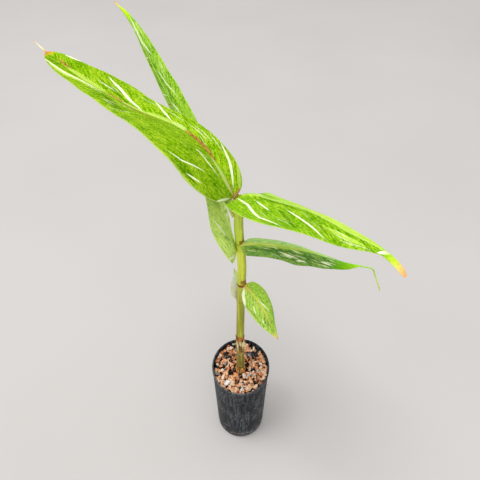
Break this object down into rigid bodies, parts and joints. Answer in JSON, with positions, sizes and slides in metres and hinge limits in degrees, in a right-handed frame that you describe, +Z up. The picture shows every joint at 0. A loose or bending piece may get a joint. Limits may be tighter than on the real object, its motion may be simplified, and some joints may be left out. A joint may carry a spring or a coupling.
{
  "type": "potted ginger lily",
  "caption": "Young variegated ginger lily with a leafy cane in a deep round nursery pot of coconut-chip mix, standing on the pot's flat foot.",
  "frame": {"origin": "The centre of the pot's foot, on the surface that it stands on.", "axes": "+Z is up along the pot's axis. +X is to the right and +Y is away from where the plant is normally looked at, so the topmost leaf reaches towards -X and +Y, and the two hanging leaves on the other side reach towards +X and -Y."},
  "size_m": [0.2484, 0.2592, 0.4176],
  "materials": {
    "pot_plastic": "matte",
    "coconut_chips": "matte",
    "cane_tissue": "satin",
    "dry_sheath": "matte",
    "leaf_tissue": "satin"
  },
  "bodies": {
    "root": {"pot": "pot_plastic", "growing_mix": "coconut_chips", "cane": "cane_tissue", "papery_scale_upper": "dry_sheath", "papery_scale_lower": "dry_sheath", "leaf_1": "leaf_tissue", "leaf_2": "leaf_tissue", "leaf_3": "leaf_tissue", "leaf_4": "leaf_tissue", "leaf_5": "leaf_tissue", "leaf_6": "leaf_tissue", "leaf_7": "leaf_tissue"}
  },
  "joints": []
}
